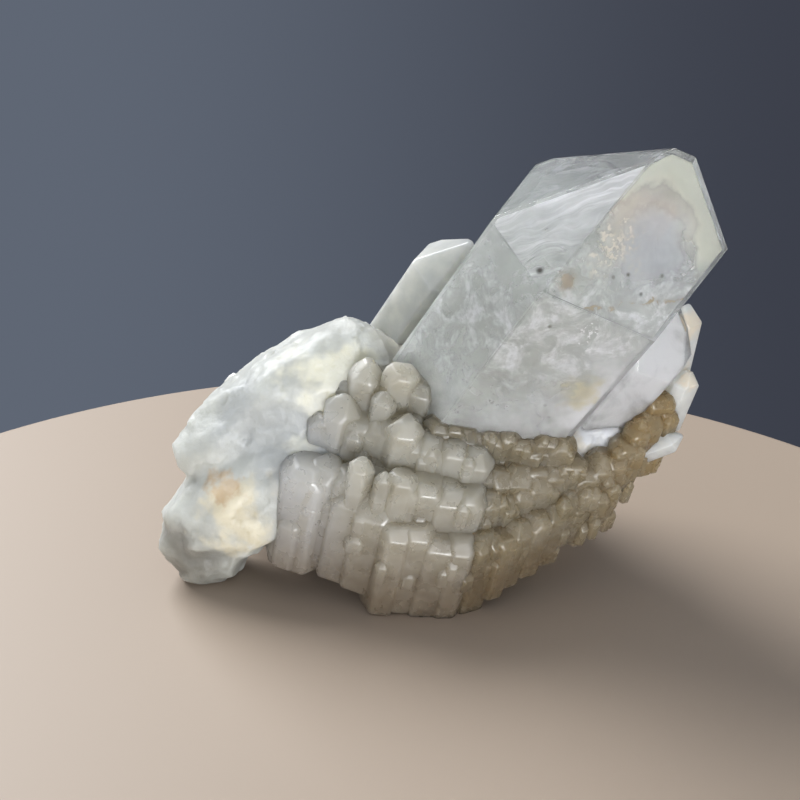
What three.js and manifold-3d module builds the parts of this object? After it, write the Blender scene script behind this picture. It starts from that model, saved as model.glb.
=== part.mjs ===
// A clear quartz cluster, grown as one piece: a large leaning point, smaller points beside it,
// a crust of candle-like crystals down its front and a fractured milky base on its left.
// Millimetres, +Z up. It rests on three broken feet at Z = 0.
import * as THREE from 'three';
import { ConvexGeometry } from 'three/addons/geometries/ConvexGeometry.js';
import { mergeVertices } from 'three/addons/utils/BufferGeometryUtils.js';
import Module from 'manifold-3d';

// Angles of quartz, in degrees: a tip face's normal from the long axis, and a prism face's taper
const TIP_SLOPE = 51.8;
const PRISM_TAPER = 0.5;

// Long axes as [heading, elevation] in degrees: of the main crystal and of the front candles
const MAIN_AXIS = [-35.7, 56.4];
const CANDLE_AXIS = [-50, 73];
// The turn about the main crystal's long axis, from level, of its first side face
const MAIN_SPIN = -76.2;

// The main crystal: a point on its axis at the tip, each face's distance from that point,
// and how far each face is turned or leans from the ideal, in degrees
const MAIN = {
  at: [52.6, -12, 94.7],
  prism: [21.4, 22.1, 15.3, 13.6, 19, 19.5],
  tip: [-2.2, -3.1, -7.5, 6, -3.5, -3.7],
  prismTurn: [1.7, -0.4, -1.3, -2.4, 0, -0.1],
  tipTurn: [2.2, 0, 1.1, 0, -0.9, 0],
  tipLean: [0.7, -0.4, 1.8, 0, 1.3, -2],
  length: 84,
};

// Other crystals one by one: tip point, half width, length, axis, and how much the tip is cut flat
const POINTS = [
  { at: [15.5, 24, 65], half: 7.4, length: 40, axis: MAIN_AXIS, spin: MAIN_SPIN, seed: 11 },
  { at: [52.2, 0.2, 61], half: 7.8, length: 46, axis: MAIN_AXIS, spin: MAIN_SPIN, seed: 23 },
  { at: [53.6, 5, 58.3], half: 3, length: 20, axis: [-60, 80], blunt: 0.4, seed: 31 },
  { at: [55, 3.5, 45.3], half: 2.4, length: 15, axis: [-50, 72], blunt: 0.5, seed: 32 },
  { at: [55.2, 2, 32], half: 2.5, length: 16, axis: [-10, 28], blunt: 0.4, seed: 33 },
  { at: [-5.1, -1.9, 50.4], half: 3.2, length: 28, spin: 36, blunt: 0.6, seed: 41 },
  { at: [-9.6, -4.2, 44.4], half: 3.4, length: 27, spin: 21, blunt: 0.5, seed: 42 },
  { at: [1.1, -4, 51], half: 3.1, length: 26, spin: 51, blunt: 0.9, seed: 43 },
  { at: [-2.2, -6, 45.4], half: 2.2, length: 26, spin: 36, blunt: 0.4, seed: 44 },
  { at: [2, -9.5, 43], half: 3.3, length: 30, spin: 51, blunt: 0.7, seed: 45 },
  { at: [-6.3, -13.4, 35.9], half: 2.3, length: 28, spin: 36, blunt: 0.7, seed: 46 },
  { at: [1.4, -14.4, 34.6], half: 2.8, length: 30, spin: 51, blunt: 1.1, seed: 47 },
  { at: [-15.3, -8.2, 35.2], half: 5.2, length: 30, spin: 30, blunt: 0.8, seed: 48 },
  { at: [-18.8, -7, 23], half: 3.7, length: 16.5, spin: 30, blunt: 1, seed: 49 },
  { at: [-2.6, -14.6, 33], half: 1.6, length: 24, spin: 51, blunt: 0.2, seed: 50 },
  { at: [33, 33, 58], half: 7, length: 46, axis: [20, 66], seed: 61 },
  { at: [12, 38, 50], half: 6, length: 40, axis: [70, 68], seed: 62 },
  { at: [-8, 35, 43], half: 5, length: 34, axis: [110, 70], seed: 63 },
  { at: [2, 41.5, 44], half: 4.4, length: 36, axis: [95, 78], seed: 65 },
  { at: [47, 22, 44], half: 5, length: 34, axis: [25, 48], seed: 64 },
];

// Rows of candles grown side by side: tops along a line on the row's front, each with the height
// of its broken foot, and the turn of the face that they share: the front wall's, then those of
// the crust on its right and of the back
const COLUMN_ROWS = [
  { from: [-13.5, -12.3, 25], to: [-4, -16.8, 26], feet: [7, 4], turn: 36, count: 3, half: 4.6,
    seed: 71 },
  { from: [0.5, -18.2, 21.5], to: [12.5, -18.2, 18], feet: [1, -1.5], turn: 51, count: 4, half: 3.7,
    seed: 72 },
  { from: [-13.5, -12.2, 29.6], to: [-5, -14.2, 30.6], feet: [8, 5], turn: 36, count: 3, half: 4,
    seed: 74 },
  { from: [2, -16.6, 29.4], to: [14, -16.6, 26.4], feet: [3, 1], turn: 51, count: 4, half: 3.8,
    seed: 75 },
  { from: [-13, -6.4, 37.3], to: [0, -11.2, 38.9], feet: [10, 6], turn: 36, count: 5, half: 4,
    seed: 77 },
  { from: [-10, -3.4, 43.5], to: [4, -6.8, 45], feet: [14, 12], turn: 36, count: 5, half: 4,
    seed: 85 },
  { from: [3, -12, 37], to: [15, -12.5, 34], feet: [8, 6], turn: 51, count: 4, half: 3.4, seed: 78 },
];
const CRUST_ROWS = [
  { from: [18, -16.5, 17], to: [42, -4.3, 24], feet: [0, 15.5], turn: 81, count: 8, half: 3.4,
    seed: 73 },
  { from: [15, -15, 24], to: [41, -4.5, 28], feet: [3, 16], turn: 66, count: 9, half: 3.5, seed: 76 },
  { from: [17, -11.8, 29.5], to: [40, -6.5, 28], feet: [8, 19], turn: 60, count: 8, half: 3.4, seed: 79 },
  { from: [8, -9.4, 38], to: [31, -7.9, 33.4], feet: [12, 16], turn: 51, count: 10, half: 2.6,
    seed: 80 },
  { from: [38.5, -7.2, 23.7], to: [51, -0.8, 38], feet: [23, 32], turn: 66, count: 7, half: 2.8,
    seed: 83 },
  { from: [43, -3, 26.8], to: [53, 0.5, 35.8], feet: [23, 30], turn: 81, count: 4, half: 2.6, seed: 84 },
];
const BACK_ROWS = [
  { from: [50, 13, 30.5], to: [39, 33, 33.5], feet: [18, 6], turn: 80, count: 4, half: 3.8, seed: 81,
    axis: [40, 66] },
  { from: [28, 41.6, 33.5], to: [-10, 44.6, 30], feet: [6, 9], turn: 90, count: 8, half: 4.2, seed: 82,
    axis: [85, 78] },
];
// 0 gives a level row with a flat front and 1 an uneven one
const COLUMN_UNEVEN = 0.4;
const CRUST_UNEVEN = 0.5;
const BACK_UNEVEN = 1;

// Broken blocks of the base: the two ends of the block's middle line, its half sizes across,
// first sideways and then up, and a seed for its facets
const BLOCKS = [
  { from: [-2, 11, 44.5], to: [-39.5, 5, 25], across: [10, 11], seed: 101 },
  { from: [-4, 5, 34], to: [-43, 3, 13], across: [9, 10], seed: 102 },
  { from: [-15, 1.5, 26], to: [-35, -1, 14], across: [8, 8], seed: 103 },
  { from: [-33, 2, 6.5], to: [-44, 3.5, 9.5], across: [8, 8.6], seed: 104 },
  { from: [-8, 24, 32], to: [-34, 17, 16], across: [11, 13], seed: 105 },
  { from: [10, -3, 13], to: [-16, 1, 20], across: [8, 10.5], seed: 106 },
  { from: [30, 22, 12.5], to: [-8, 22, 14], across: [14, 14], seed: 107 },
  { from: [9, -1.5, 14], to: [33, 4, 22], across: [8, 10.5], seed: 108 },
  { from: [24, 6, 17], to: [46, 11.7, 34.7], across: [8, 8], seed: 109 },
  { from: [14, 16, 16], to: [40, 16, 34], across: [12, 13], seed: 110 },
  { from: [24, 26, 26], to: [-6, 30, 31], across: [12, 15.5], seed: 111 },
  { from: [-30, 0.5, 13.5], to: [-41, 1.5, 13.5], across: [8.5, 8], seed: 112 },
];

// The middle of the finished cluster's length and depth, which becomes the origin
const MIDDLE = [4.37, 12.87];

// How much crystals differ. Sides and tip faces are in half widths, turns and leans in degrees,
// steps and foot heights in mm.
const SIDE_RANGE = [0.85, 1.1];
const TIP_DROP = 0.25;
const TURN_RANGE = [-3, 3];
const BLUNT_LEAN = 8;
const WIDTH_RANGE = [0.85, 1.2];
const BLUNT_RANGE = [1.1, 0.3];
const STEP_BACK = 0.9;
const STEP_RANGE = [-2, 2];
const FOOT_RANGE = [-0.5, 1];

const BLOCK_FACES = 40;
const BLOCK_UNEVEN = 0.24;
const BLOCK_TILT = 0.03;
const BLOCK_SWING = 0.2;
// 1 gives boxes and 2 gives ellipsoids
const BLOCK_ROUNDING = 1.35;
const FLOOR_SIZE = 400;
const FLOOR_DEPTH = 60;
const SEED_STEP = 97;
const WELD = 1e-4;

const rad = THREE.MathUtils.degToRad;
const vec = (p) => new THREE.Vector3(p[0], p[1], p[2]);
const mix = (a, b, t) => a + (b - a) * t;
const within = ([a, b], t) => mix(a, b, t);

// Repeatable random numbers from 0 to 1
function randomFrom(seed) {
  let state = seed;
  return () => {
    state = (state + 0x6d2b79f5) | 0;
    let t = Math.imul(state ^ (state >>> 15), 1 | state);
    t = (t + Math.imul(t ^ (t >>> 7), 61 | t)) ^ t;
    return ((t ^ (t >>> 14)) >>> 0) / 4294967296;
  };
}

// Half-spaces are a normal and the largest distance along it
const face = (normal, through, distance) => ({ normal, reach: normal.dot(through) + distance });

// The point where three face planes meet, if they do
function corner(a, b, c) {
  const bc = b.normal.clone().cross(c.normal);
  const volume = a.normal.dot(bc);
  if (Math.abs(volume) < 1e-6) return null;
  const sum = bc.multiplyScalar(a.reach);
  sum.addScaledVector(c.normal.clone().cross(a.normal), b.reach);
  sum.addScaledVector(a.normal.clone().cross(b.normal), c.reach);
  return sum.divideScalar(volume);
}

// The convex body inside all the faces
function convexBody(faces) {
  const corners = [];
  for (let i = 0; i < faces.length; i++) {
    for (let j = i + 1; j < faces.length; j++) {
      for (let k = j + 1; k < faces.length; k++) {
        const point = corner(faces[i], faces[j], faces[k]);
        if (!point) continue;
        if (faces.some((f) => f.normal.dot(point) > f.reach + WELD)) continue;
        if (corners.some((other) => other.distanceTo(point) < WELD)) continue;
        corners.push(point);
      }
    }
  }
  return solid(new ConvexGeometry(corners));
}

// A closed three.js geometry as a solid that can be joined and cut
function solid(geometry) {
  geometry.deleteAttribute('normal');
  geometry.deleteAttribute('uv');
  const welded = mergeVertices(geometry, WELD);
  return new wasm.Manifold(new wasm.Mesh({
    numProp: 3,
    vertProperties: new Float32Array(welded.attributes.position.array),
    triVerts: new Uint32Array(welded.index.array),
  }));
}

// A crystal's long axis and the two directions across it
function crystalFrame([heading, elevation]) {
  const a = rad(heading);
  const e = rad(elevation);
  const axis = new THREE.Vector3(Math.cos(e) * Math.cos(a), Math.cos(e) * Math.sin(a), Math.sin(e));
  const across = new THREE.Vector3(Math.sin(a), -Math.cos(a), 0);
  return { axis, across, up: axis.clone().cross(across) };
}

// A direction at an angle from the long axis, turned about it
function tilted(frame, turn, slope) {
  const t = rad(turn);
  const s = rad(slope);
  const side = frame.across.clone().multiplyScalar(Math.cos(t)).addScaledVector(frame.up, Math.sin(t));
  return side.multiplyScalar(Math.sin(s)).addScaledVector(frame.axis, Math.cos(s));
}

// The main crystal, with its own measured faces
function mainCrystal() {
  const frame = crystalFrame(MAIN_AXIS);
  const at = vec(MAIN.at);
  const faces = [face(frame.axis.clone().negate(), at, MAIN.length)];
  for (let k = 0; k < 6; k++) {
    const turn = MAIN_SPIN + 60 * k;
    const prismNormal = tilted(frame, turn + MAIN.prismTurn[k], 90 - PRISM_TAPER);
    const tipNormal = tilted(frame, turn + MAIN.tipTurn[k], TIP_SLOPE + MAIN.tipLean[k]);
    faces.push(face(prismNormal, at, MAIN.prism[k]));
    faces.push(face(tipNormal, at, MAIN.tip[k]));
  }
  return convexBody(faces);
}

// A smaller crystal: six sides and six tip faces, none quite the same
function smallCrystal({ at, half, length, axis = CANDLE_AXIS, spin, blunt = 0, seed }) {
  const random = randomFrom(seed);
  const frame = crystalFrame(axis);
  const tip = vec(at);
  const start = spin ?? 60 * random();
  const faces = [face(frame.axis.clone().negate(), tip, length)];
  if (blunt > 0) faces.push(face(tilted(frame, 360 * random(), BLUNT_LEAN), tip, -blunt * half));
  for (let k = 0; k < 6; k++) {
    const turn = start + 60 * k + within(TURN_RANGE, random());
    const side = half * within(SIDE_RANGE, random());
    faces.push(face(tilted(frame, turn, 90 - PRISM_TAPER), tip, side));
    faces.push(face(tilted(frame, turn, TIP_SLOPE), tip, -half * TIP_DROP * random()));
  }
  return convexBody(faces);
}

// A row of candles, with level, blunt tops and a flat front where it isn't uneven
function candleRow({ from, to, feet, turn, count, half, axis = CANDLE_AXIS, seed }, uneven) {
  const random = randomFrom(seed);
  const rise = Math.sin(rad(axis[1]));
  const out = tilted(crystalFrame(axis), turn, 90);
  return Array.from({ length: count }, (unused, i) => {
    const t = i / (count - 1);
    const width = half * within(WIDTH_RANGE, random());
    const back = width + STEP_BACK * uneven * random();
    const at = vec(from).lerp(vec(to), t).addScaledVector(out, -back);
    at.z += uneven * within(STEP_RANGE, random());
    const foot = within(feet, t) + within(FOOT_RANGE, random());
    const blunt = within(BLUNT_RANGE, uneven * random());
    at.z += blunt * width * rise;
    const length = (at.z - foot) / rise;
    const candle = { at: at.toArray(), half: width, length, axis, spin: turn, blunt };
    return smallCrystal({ ...candle, seed: seed * SEED_STEP + i });
  });
}

// A broken block: flat facets at even directions around it, some cut deeper than others
function brokenBlock({ from, to, across, seed }) {
  const random = randomFrom(seed);
  const golden = Math.PI * (3 - Math.sqrt(5));
  const centre = vec(from).lerp(vec(to), 0.5);
  const along = vec(to).sub(vec(from)).normalize();
  const sideways = along.clone().cross(new THREE.Vector3(0, 0, 1)).normalize();
  const upward = sideways.clone().cross(along);
  const half = [vec(from).distanceTo(vec(to)) / 2 + (across[0] + across[1]) / 4, ...across];
  const faces = [];
  for (let i = 0; i < BLOCK_FACES; i++) {
    const z = 1 - (2 * i + 1) / BLOCK_FACES + mix(-BLOCK_TILT, BLOCK_TILT, random());
    const around = i * golden + mix(-BLOCK_SWING, BLOCK_SWING, random());
    const level = Math.sqrt(Math.max(0, 1 - z * z));
    const parts = [z, level * Math.cos(around), level * Math.sin(around)];
    const length = Math.hypot(...parts);
    const powers = parts.map((part, n) => Math.abs(part * half[n] / length) ** BLOCK_ROUNDING);
    const reach = (powers[0] + powers[1] + powers[2]) ** (1 / BLOCK_ROUNDING);
    const normal = along.clone().multiplyScalar(parts[0] / length);
    normal.addScaledVector(sideways, parts[1] / length).addScaledVector(upward, parts[2] / length);
    faces.push(face(normal, centre, reach * mix(1 - BLOCK_UNEVEN, 1, random())));
  }
  return convexBody(faces);
}

const wasm = await Module();
wasm.setup();

const pieces = [
  mainCrystal(),
  ...POINTS.map(smallCrystal),
  ...COLUMN_ROWS.flatMap((row) => candleRow(row, COLUMN_UNEVEN)),
  ...CRUST_ROWS.flatMap((row) => candleRow(row, CRUST_UNEVEN)),
  ...BACK_ROWS.flatMap((row) => candleRow(row, BACK_UNEVEN)),
  ...BLOCKS.map(brokenBlock),
];
let cluster = pieces[0];
for (const piece of pieces.slice(1)) cluster = cluster.add(piece);

// The feet are broken off level at Z = 0
const floor = new THREE.BoxGeometry(FLOOR_SIZE, FLOOR_SIZE, FLOOR_DEPTH);
floor.translate(0, 0, -FLOOR_DEPTH / 2);
cluster = cluster.subtract(solid(floor));

const mesh = cluster.getMesh();
const geometry = new THREE.BufferGeometry();
geometry.setAttribute('position', new THREE.BufferAttribute(mesh.vertProperties, 3));
geometry.setIndex(new THREE.BufferAttribute(mesh.triVerts, 1));
geometry.translate(-MIDDLE[0], -MIDDLE[1], 0);

const quartz = new THREE.MeshStandardMaterial({ color: 0xd9dcd8, roughness: 0.15, metalness: 0 });
const crystal = new THREE.Mesh(geometry, quartz);
crystal.name = 'quartz_cluster';

const part = new THREE.Group();
part.add(crystal);
export default part;
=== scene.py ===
# Looks of the clear quartz cluster. Lengths in the tables are millimetres in the photo's frame, whose
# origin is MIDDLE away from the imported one; MM turns them into metres when a mesh is made.
import math
from itertools import combinations

import bmesh
import bpy
import numpy as np
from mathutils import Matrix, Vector, kdtree, noise


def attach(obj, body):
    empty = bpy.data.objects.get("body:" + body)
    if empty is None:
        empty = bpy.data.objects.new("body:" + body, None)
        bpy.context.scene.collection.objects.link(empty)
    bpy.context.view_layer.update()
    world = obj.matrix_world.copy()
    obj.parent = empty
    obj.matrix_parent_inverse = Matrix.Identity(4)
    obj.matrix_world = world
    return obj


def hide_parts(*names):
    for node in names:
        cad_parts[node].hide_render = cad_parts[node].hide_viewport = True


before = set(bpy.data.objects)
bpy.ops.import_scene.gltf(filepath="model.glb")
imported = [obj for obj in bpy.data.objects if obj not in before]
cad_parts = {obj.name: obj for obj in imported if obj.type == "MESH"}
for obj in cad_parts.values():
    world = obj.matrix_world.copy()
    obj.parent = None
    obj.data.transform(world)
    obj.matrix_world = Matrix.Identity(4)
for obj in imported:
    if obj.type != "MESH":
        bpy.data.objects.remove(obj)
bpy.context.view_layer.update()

MM = 0.001
MIDDLE = np.array([4.37, 12.87, 0])

# Angles of quartz, in degrees: a tip face's normal from the long axis, and a prism face's taper
TIP_SLOPE = 51.8
PRISM_TAPER = 0.5
MAIN_AXIS = (-35.7, 56.4)
CANDLE_AXIS = (-50, 73)
MAIN_SPIN = -76.2

# The main crystal, by its faces' distances from a point on its axis and their small turns
MAIN = dict(
    at=(52.6, -12, 94.7),
    prism=(21.4, 22.1, 15.3, 13.6, 19, 19.5),
    tip=(-2.2, -3.1, -7.5, 6, -3.5, -3.7),
    prism_turn=(1.7, -0.4, -1.3, -2.4, 0, -0.1),
    tip_turn=(2.2, 0, 1.1, 0, -0.9, 0),
    tip_lean=(0.7, -0.4, 1.8, 0, 1.3, -2),
    length=84,
)

# Larger crystals beside it, then small ones on the right edge, candles one by one, and the back's
POINTS = [
    dict(at=(15.5, 24, 65), half=7.4, length=40, axis=MAIN_AXIS, spin=MAIN_SPIN, seed=11),
    dict(at=(52.2, 0.2, 61), half=7.8, length=46, axis=MAIN_AXIS, spin=MAIN_SPIN, seed=23),
    dict(at=(53.6, 5, 58.3), half=3, length=20, axis=(-60, 80), blunt=0.4, seed=31),
    dict(at=(55, 3.5, 45.3), half=2.4, length=15, axis=(-50, 72), blunt=0.5, seed=32),
    dict(at=(55.2, 2, 32), half=2.5, length=16, axis=(-10, 28), blunt=0.4, seed=33),
    dict(at=(-5.1, -1.9, 50.4), half=3.2, length=28, spin=36, blunt=0.6, seed=41),
    dict(at=(-9.6, -4.2, 44.4), half=3.4, length=27, spin=21, blunt=0.5, seed=42),
    dict(at=(1.1, -4, 51), half=3.1, length=26, spin=51, blunt=0.9, seed=43),
    dict(at=(-2.2, -6, 45.4), half=2.2, length=26, spin=36, blunt=0.4, seed=44),
    dict(at=(2, -9.5, 43), half=3.3, length=30, spin=51, blunt=0.7, seed=45),
    dict(at=(-6.3, -13.4, 35.9), half=2.3, length=28, spin=36, blunt=0.7, seed=46),
    dict(at=(1.4, -14.4, 34.6), half=2.8, length=30, spin=51, blunt=1.1, seed=47),
    dict(at=(-15.3, -8.2, 35.2), half=5.2, length=30, spin=30, blunt=0.8, seed=48),
    dict(at=(-18.8, -7, 23), half=3.7, length=16.5, spin=30, blunt=1, seed=49),
    dict(at=(-2.6, -14.6, 33), half=1.6, length=24, spin=51, blunt=0.2, seed=50),
    dict(at=(33, 33, 58), half=7, length=46, axis=(20, 66), seed=61),
    dict(at=(12, 38, 50), half=6, length=40, axis=(70, 68), seed=62),
    dict(at=(-8, 35, 43), half=5, length=34, axis=(110, 70), seed=63),
    dict(at=(2, 41.5, 44), half=4.4, length=36, axis=(95, 78), seed=65),
    dict(at=(47, 22, 44), half=5, length=34, axis=(25, 48), seed=64),
]

# Rows of candles grown side by side: tops along a line on the row's front, each with the height
# of its broken foot, and the turn of the face that they share. First the level ones of the front
# wall, then the uneven ones of the crust on its right and those of the back.
COLUMN_ROWS = [
    dict(start=(-13.5, -12.3, 25), end=(-4, -16.8, 26), feet=(7, 4), turn=36, count=3, half=4.6, seed=71),
    dict(
        start=(0.5, -18.2, 21.5), end=(12.5, -18.2, 18), feet=(1, -1.5),
        turn=51, count=4, half=3.7, seed=72,
    ),
    dict(start=(-13.5, -12.2, 29.6), end=(-5, -14.2, 30.6), feet=(8, 5), turn=36, count=3, half=4, seed=74),
    dict(start=(2, -16.6, 29.4), end=(14, -16.6, 26.4), feet=(3, 1), turn=51, count=4, half=3.8, seed=75),
    dict(start=(-13, -6.4, 37.3), end=(0, -11.2, 38.9), feet=(10, 6), turn=36, count=5, half=4, seed=77),
    dict(start=(-10, -3.4, 43.5), end=(4, -6.8, 45), feet=(14, 12), turn=36, count=5, half=4, seed=85),
    dict(start=(3, -12, 37), end=(15, -12.5, 34), feet=(8, 6), turn=51, count=4, half=3.4, seed=78),
]
CRUST_ROWS = [
    dict(start=(18, -16.5, 17), end=(42, -4.3, 24), feet=(0, 15.5), turn=81, count=8, half=3.4, seed=73),
    dict(start=(15, -15, 24), end=(41, -4.5, 28), feet=(3, 16), turn=66, count=9, half=3.5, seed=76),
    dict(start=(17, -11.8, 29.5), end=(40, -6.5, 28), feet=(8, 19), turn=60, count=8, half=3.4, seed=79),
    dict(start=(8, -9.4, 38), end=(31, -7.9, 33.4), feet=(12, 16), turn=51, count=10, half=2.6, seed=80),
    dict(start=(38.5, -7.2, 23.7), end=(51, -0.8, 38), feet=(23, 32), turn=66, count=7, half=2.8, seed=83),
    dict(start=(43, -3, 26.8), end=(53, 0.5, 35.8), feet=(23, 30), turn=81, count=4, half=2.6, seed=84),
]
BACK_ROWS = [
    dict(
        start=(50, 13, 30.5), end=(39, 33, 33.5), feet=(18, 6),
        turn=80, count=4, half=3.8, seed=81, axis=(40, 66),
    ),
    dict(
        start=(28, 41.6, 33.5), end=(-10, 44.6, 30), feet=(6, 9),
        turn=90, count=8, half=4.2, seed=82, axis=(85, 78),
    ),
]
LARGE_HALF = 4.3
EDGE_SEEDS = (31, 32, 33)
COLUMN_UNEVEN = 0.4
CRUST_UNEVEN = 0.5
BLUNT_LEAN = 8
SEED_STEP = 97

# Broken blocks of the base: the two ends of the middle line, and the half sizes across it
BLOCKS = [
    dict(start=(-2, 11, 44.5), end=(-39.5, 5, 25), across=(10, 11), seed=101),
    dict(start=(-4, 5, 34), end=(-43, 3, 13), across=(9, 10), seed=102),
    dict(start=(-15, 1.5, 26), end=(-35, -1, 14), across=(8, 8), seed=103),
    dict(start=(-33, 2, 6.5), end=(-44, 3.5, 9.5), across=(8, 8.6), seed=104),
    dict(start=(-8, 24, 32), end=(-34, 17, 16), across=(11, 13), seed=105),
    dict(start=(10, -3, 13), end=(-16, 1, 20), across=(8, 10.5), seed=106),
    dict(start=(30, 22, 12.5), end=(-8, 22, 14), across=(14, 14), seed=107),
    dict(start=(9, -1.5, 14), end=(33, 4, 22), across=(8, 10.5), seed=108),
    dict(start=(24, 6, 17), end=(46, 11.7, 34.7), across=(8, 8), seed=109),
    dict(start=(14, 16, 16), end=(40, 16, 34), across=(12, 13), seed=110),
    dict(start=(24, 26, 26), end=(-6, 30, 31), across=(12, 15.5), seed=111),
    dict(start=(-30, 0.5, 13.5), end=(-41, 1.5, 13.5), across=(8.5, 8), seed=112),
]
BLOCK_FACES = 40
BLOCK_UNEVEN = 0.24
BLOCK_ROUNDING = 1.35

# How the base is melted together and broken: sizes in millimetres
MELT_CELL = 0.7
MELT_ROUNDS = 14
FRACTURE = dict(seed=7, spacing=7, tilt=0.08, swell=0.9, swell_size=11)
GRAIN = 0.1
GRAIN_SIZE = 3
SUNK = 0.3

# Radii of the rounded edges: in millimetres, then as shares of a crystal's half width
MAIN_ROUNDING = 0.12
FLANK_ROUNDING = 0.3
BLOCK_EDGE = 0.3
SIDE_ROUNDING = 0.1
CANDLE_ROUNDING = 0.3
CRUST_ROUNDING = 0.25
SHARP_ANGLE = 32

# Fine crystals grown on the candles: how many on each and how far they stand out, then their
# sizes and places in shares of the candle's half width or in millimetres. The candles of rows have
# seeds above FIRST_ROW_SEED, and those of PLAIN_ROW carry none.
CANDLE_GROWTH = dict(count=1, proud=0.8)
CRUST_GROWTH = dict(count=5, proud=0.1)
GROWTH_HALF = (0.32, 0.55)
GROWTH_BELOW_TIP = (-1, 9)
GROWTH_ASIDE = 0.8
GROWTH_LENGTH = 6
GROWTH_BLUNT = 0.6
FIRST_ROW_SEED = 1000
PLAIN_ROW = 85

# The cloud in the main crystal: closed shells one inside the other, which fade in at a distance
# below the tip, and one in the flank crystal
HAZE = (
    dict(inset=1.2, shorten=8, start=28, full=52, most=0.85, scale=0.003),
    dict(inset=3.5, shorten=8, start=20, full=42, most=0.8, scale=0.006),
    dict(inset=6.5, shorten=9, start=14, full=36, most=1.0, scale=0.012),
)
HAZE_ROUNDING = 4
FLANK_HAZE = dict(start=6, full=20, most=0.9, scale=0.004)
FLANK_HAZE_INSET = 0.4
FLANK_HAZE_ROUNDING = 0.8

# Thin sheets under the main crystal's faces, numbered as main_faces lists them: T for the faces of
# the tip and P for those of the prism. PHANTOM is the middle of the arch under one of them.
FACE_T0, FACE_P1, FACE_T1, FACE_P2, FACE_T2 = 2, 3, 4, 5, 6
VEIL_DEPTH = 0.8
PHANTOM = (42.2, -9.8, 74.2)

QUARTZ_IOR = 1.544
UPWARDS = (0, 0, 1)

# The room, in metres, degrees and watts
FLOOR_RADIUS = 0.147
FLOOR_THICKNESS = 0.018
FLOOR_CENTRE = (-0.0097, -0.0574)
FLOOR_COLOUR = (0.385, 0.305, 0.235, 1)
WINDOW = dict(place=(-0.75, 0.8, 1.0), aim=(0, 0, 0.03), width=1.1, height=1.1, power=32)
FILL = dict(place=(0.15, -0.93, 0.03), aim=(0, 0, 0.04), width=0.8, height=0.2, power=10)
LIGHT_COLOUR = (0.97, 0.98, 1)
CAMERA_PLACE = (-0.00437, -0.22585, 0.1393)
CAMERA_TILT = 65
CAMERA_LENS = 56.25
CAMERA_SENSOR = 36

# The side of the block that cuts the feet level, in metres, and the tolerance of equal points
GROUND = 0.4
WELD = 1e-4
BITS = 0xFFFFFFFF


def mix(a, b, t):
    return a + (b - a) * t


def random_from(seed):
    """Repeatable numbers from 0 to 1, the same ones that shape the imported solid."""
    state = seed

    def draw():
        nonlocal state
        state = (state + 0x6D2B79F5) & BITS
        t = (state ^ (state >> 15)) * (1 | state) & BITS
        t = ((t + ((t ^ (t >> 7)) * (61 | t) & BITS)) & BITS) ^ t
        return (t ^ (t >> 14)) / 2**32

    return draw


# Crystals as rounded convex bodies


def crystal_frame(axis):
    heading, elevation = (math.radians(a) for a in axis)
    level = math.cos(elevation)
    along = np.array([level * math.cos(heading), level * math.sin(heading), math.sin(elevation)])
    across = np.array([math.sin(heading), -math.cos(heading), 0])
    return along, across, np.cross(along, across)


def tilted(axes, turn, slope):
    along, across, up = axes
    t, s = math.radians(turn), math.radians(slope)
    return math.sin(s) * (math.cos(t) * across + math.sin(t) * up) + math.cos(s) * along


def face(normal, through, distance):
    return np.append(normal, np.dot(normal, through) + distance)


def corners(faces):
    """The corners of the convex body inside the faces, each with the faces that meet there."""
    faces = np.array(faces)
    normals, reach = faces[:, :3], faces[:, 3]
    trios = np.array(list(combinations(range(len(faces)), 3)))
    trios = trios[np.abs(np.linalg.det(normals[trios])) > 1e-6]
    points = np.linalg.solve(normals[trios], reach[trios][:, :, None])[:, :, 0]
    inside = (points @ normals.T <= reach + WELD).all(axis=1)
    found = []
    for point in points[inside]:
        if all(np.linalg.norm(point - other) > WELD for other, _ in found):
            meet = normals[np.abs(normals @ point - reach) < 2 * WELD]
            found.append((point, meet))
    return found


def rounded(faces, radius, steps=3):
    """Points on the body inside the faces, with its edges rounded to the radius."""
    shrunk = [np.append(f[:3], f[3] - radius) for f in faces]
    shares = [
        (i / steps, j / steps, (steps - i - j) / steps)
        for i in range(steps + 1)
        for j in range(steps + 1 - i)
    ]
    points = []
    for point, meet in corners(shrunk):
        for trio in combinations(meet, 3):
            for share in shares:
                way = share @ np.array(trio)
                points.append(point + radius * way / np.linalg.norm(way))
    return points


def hull(name, points):
    """A closed mesh around the points, in packed metres."""
    made = bmesh.new()
    for point in points:
        made.verts.new((np.asarray(point) - MIDDLE) * MM)
    bmesh.ops.remove_doubles(made, verts=made.verts, dist=2e-6)
    result = bmesh.ops.convex_hull(made, input=made.verts)
    inner = {*result["geom_interior"], *result["geom_unused"]}
    loose = [part for part in inner if isinstance(part, bmesh.types.BMVert)]
    bmesh.ops.delete(made, geom=loose, context="VERTS")
    bmesh.ops.recalc_face_normals(made, faces=made.faces)
    return piece_from(name, made)


def piece_from(name, made):
    mesh = bpy.data.meshes.new(name)
    made.to_mesh(mesh)
    made.free()
    piece = bpy.data.objects.new(name, mesh)
    bpy.context.scene.collection.objects.link(piece)
    return piece


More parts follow.
